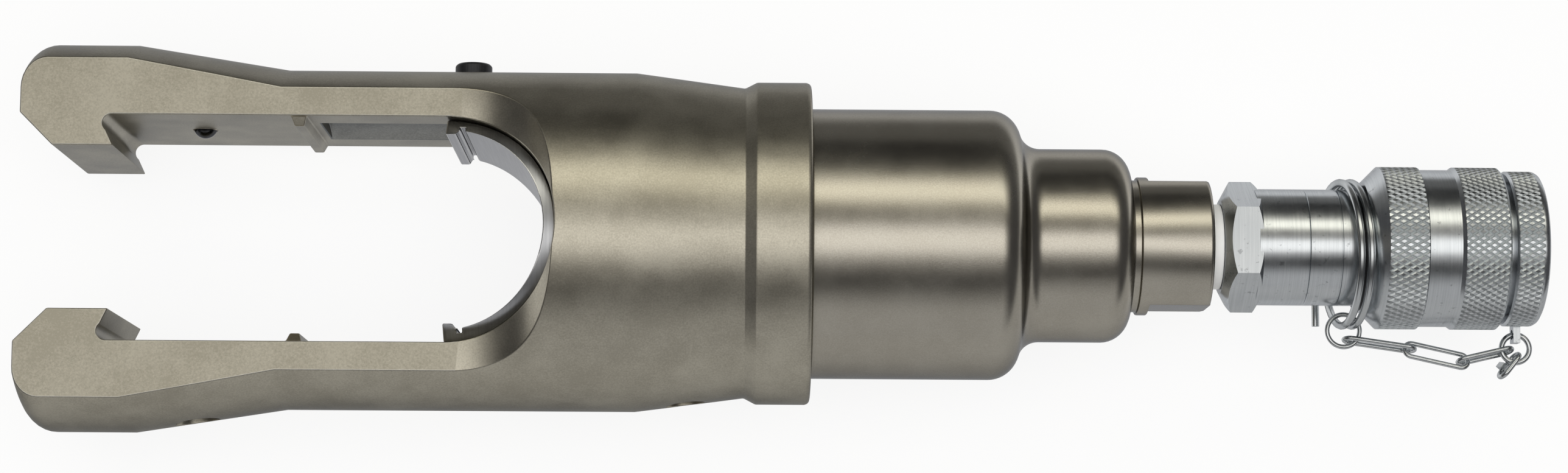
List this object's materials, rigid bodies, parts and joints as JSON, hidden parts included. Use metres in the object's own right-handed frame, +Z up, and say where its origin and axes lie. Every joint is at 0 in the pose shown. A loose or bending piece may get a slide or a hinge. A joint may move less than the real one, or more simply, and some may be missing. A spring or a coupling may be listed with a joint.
{
  "type": "hydraulic crimping tool",
  "caption": "Remote hydraulic crimping head: hooked U-shaped yoke, spring-return ram with a half-round die saddle, stepped cylinder and a screw coupler with a chained dust cap.",
  "frame": {"origin": "centre of the bounding box on the surface that the tool lies on, below the tool's axis", "axes": "+X along the tool's axis from the jaw to the coupler, +Z up out of the fork's upper flat, +Y towards the arm with the button"},
  "size_m": [0.345, 0.0886, 0.0778],
  "materials": {
    "yoke_steel": "matt nickel, bead blasted",
    "machined_steel": "machined",
    "black_steel": "black oxide",
    "ball_steel": "polished, dark",
    "zinc_steel": "bright zinc plate",
    "seal_rubber": "smooth",
    "white_plastic": "waxy white",
    "brown_plastic": "fabric filled"
  },
  "bodies": {
    "tool": {"yoke": "yoke_steel", "cylinder": "yoke_steel", "ram_wiper": "seal_rubber", "cylinder_o_ring": "seal_rubber", "spring_rod": "black_steel", "return_spring": "black_steel", "yoke_set_screw": "machined_steel", "button_spring": "machined_steel", "detent_spring_upper": "machined_steel", "detent_spring_lower": "machined_steel", "detent_screws": "black_steel", "thread_seal_ring": "white_plastic", "coupler_adapter": "zinc_steel", "coupler_body": "zinc_steel", "coupler_o_ring": "seal_rubber", "poppet_guide": "machined_steel", "poppet_spring": "machined_steel", "sleeve_snap_ring": "black_steel", "anchor_ring": "zinc_steel"},
    "ram": {"ram": "machined_steel", "piston_seal": "seal_rubber", "seal_backup_ring": "white_plastic", "ram_wear_band": "brown_plastic", "spring_washer": "machined_steel", "spring_snap_ring": "black_steel"},
    "button": {"release_button": "black_steel", "button_clip": "machined_steel"},
    "detent_upper": {"detent_ball_upper": "ball_steel"},
    "detent_lower": {"detent_ball_lower": "ball_steel"},
    "poppet": {"poppet": "machined_steel", "poppet_seal": "seal_rubber"},
    "sleeve": {"sleeve": "zinc_steel"},
    "cap": {"dust_cap": "zinc_steel", "cap_gasket": "seal_rubber", "cap_ring": "zinc_steel", "clip_loop": "zinc_steel", "crimp_clip": "zinc_steel"},
    "link_1": {"chain_link_1": "zinc_steel"},
    "link_2": {"chain_link_2": "zinc_steel"},
    "link_3": {"chain_link_3": "zinc_steel"},
    "link_4": {"chain_link_4": "zinc_steel"}
  },
  "joints": [
    {"name": "ram_stroke", "type": "slide", "parent": "tool", "child": "ram", "axis": [-1, 0, 0], "range_m": [0, 0.028], "stiffness_N_per_m": 13000, "springref_m": -0.004, "deforming": ["return_spring"]},
    {"name": "button_press", "type": "slide", "parent": "tool", "child": "button", "axis": [0, -1, 0], "range_m": [0, 0.002], "stiffness_N_per_m": 1500, "springref_m": -0.0015, "deforming": ["button_spring"]},
    {"name": "detent_upper_press", "type": "slide", "parent": "tool", "child": "detent_upper", "axis": [0, 1, 0], "range_m": [0, 0.0014], "stiffness_N_per_m": 3000, "springref_m": -0.0008, "deforming": ["detent_spring_upper"]},
    {"name": "detent_lower_press", "type": "slide", "parent": "tool", "child": "detent_lower", "axis": [0, -1, 0], "range_m": [0, 0.0014], "stiffness_N_per_m": 3000, "springref_m": -0.0008, "deforming": ["detent_spring_lower"]},
    {"name": "poppet_open", "type": "slide", "parent": "tool", "child": "poppet", "axis": [-1, 0, 0], "range_m": [0, 0.0035], "stiffness_N_per_m": 2000, "springref_m": -0.003, "deforming": ["poppet_spring"]},
    {"name": "sleeve_spin", "type": "hinge", "parent": "tool", "child": "sleeve", "pos_m": [0.1322, 0, 0.0389], "axis": [-1, 0, 0], "range_deg": [0, 720]},
    {"name": "cap_unscrew", "type": "slide", "parent": "tool", "child": "cap", "axis": [1, 0, 0], "range_m": [0, 0.004]},
    {"name": "link_1_follow", "type": "slide", "parent": "tool", "child": "link_1", "axis": [1, 0, 0], "range_m": [0, 0.0008]},
    {"name": "link_2_follow", "type": "slide", "parent": "tool", "child": "link_2", "axis": [1, 0, 0], "range_m": [0, 0.0016]},
    {"name": "link_3_follow", "type": "slide", "parent": "tool", "child": "link_3", "axis": [1, 0, 0], "range_m": [0, 0.0024]},
    {"name": "link_4_follow", "type": "slide", "parent": "tool", "child": "link_4", "axis": [1, 0, 0], "range_m": [0, 0.0032]}
  ],
  "couplings": [
    {"joint": "cap_unscrew", "follows": "sleeve_spin", "m_per_rad": 0.00031831},
    {"joint": "link_1_follow", "follows": "sleeve_spin", "m_per_rad": 0.000063662},
    {"joint": "link_2_follow", "follows": "sleeve_spin", "m_per_rad": 0.00012732},
    {"joint": "link_3_follow", "follows": "sleeve_spin", "m_per_rad": 0.00019098},
    {"joint": "link_4_follow", "follows": "sleeve_spin", "m_per_rad": 0.00025465}
  ]
}
